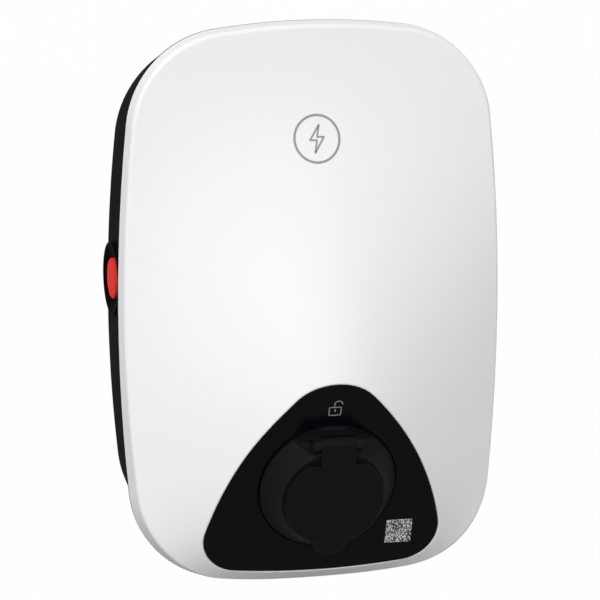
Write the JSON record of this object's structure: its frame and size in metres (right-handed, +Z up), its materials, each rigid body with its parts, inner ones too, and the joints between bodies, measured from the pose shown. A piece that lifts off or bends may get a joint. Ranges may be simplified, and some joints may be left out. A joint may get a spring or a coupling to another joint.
{
  "type": "wall charging station",
  "caption": "Wall charger for electric cars: domed white front shell, black rear tray, tilted triangular panel with a lidded socket, and a red side button.",
  "frame": {"origin": "centre of the four wall screw holes, on the rear face that lies on the wall", "axes": "+Z up, +Y into the wall, -Y out of the front, +X to the right as seen from the front"},
  "size_m": [0.282, 0.1519, 0.409],
  "materials": {
    "shell_white": "satin white moulded shell",
    "housing_black": "matte black moulded housing",
    "panel_gloss_black": "gloss black plate",
    "socket_black": "satin black moulding",
    "lid_black": "fine grained black moulding",
    "bezel_black": "satin black ring",
    "button_red": "smooth red cap",
    "seal_rubber": "black rubber",
    "screw_steel": "zinc plated",
    "pin_steel": "ground steel",
    "spring_steel": "drawn wire",
    "contact_brass": "silvered brass",
    "module_black": "moulded case",
    "module_metal": "tinned can",
    "relay_white": "moulded case",
    "terminal_grey": "moulded block",
    "board_green": "lacquered circuit board",
    "lead_insulation": "wire insulation",
    "light_guide": "frosted clear moulding",
    "label_print": "pale label with a plain grey pattern"
  },
  "bodies": {
    "charger": {"rear_housing": "housing_black", "housing_gasket": "seal_rubber", "front_shell": "shell_white", "cover_screws": "screw_steel", "socket_panel": "panel_gloss_black", "panel_screws": "screw_steel", "label_plate": "label_print", "lock_light_guide": "light_guide", "socket_housing": "socket_black", "socket_seal": "seal_rubber", "socket_screws": "screw_steel", "socket_core": "socket_black", "socket_contacts": "contact_brass", "lid_pin": "pin_steel", "lid_spring": "spring_steel", "lock_actuator": "module_black", "button_bezel": "bezel_black", "bezel_nut": "module_black", "button_spring": "spring_steel", "button_switch": "module_black", "power_board": "board_green", "control_board": "board_green", "power_supply": "module_black", "radio_module": "module_metal", "power_relays": "relay_white", "current_sensor": "module_black", "board_screws": "screw_steel", "terminal_block": "terminal_grey", "terminal_screws": "screw_steel", "status_light_board": "board_green", "light_screws": "screw_steel", "supply_gland": "housing_black", "gland_seal": "seal_rubber", "gland_nut": "housing_black", "data_grommet": "seal_rubber", "wall_seals": "seal_rubber", "power_leads": "lead_insulation"},
    "lid": {"socket_lid": "lid_black", "lid_seal": "seal_rubber"},
    "lock_bolt": {"lock_bolt": "pin_steel"},
    "button": {"side_button": "button_red"}
  },
  "joints": [
    {"name": "lid_hinge", "type": "hinge", "parent": "charger", "child": "lid", "pos_m": [0, -0.14694, -0.08757], "axis": [-1, 0, 0], "range_deg": [0, 110], "stiffness_Nm_per_rad": 0.12, "springref_deg": -20.05},
    {"name": "button_press", "type": "slide", "parent": "charger", "child": "button", "axis": [1, 0, 0], "range_m": [0, 0.003], "stiffness_N_per_m": 900, "springref_m": -0.001, "deforming": ["button_spring"]},
    {"name": "lock_bolt_slide", "type": "slide", "parent": "charger", "child": "lock_bolt", "axis": [1, 0, 0], "range_m": [0, 0.0055]}
  ]
}
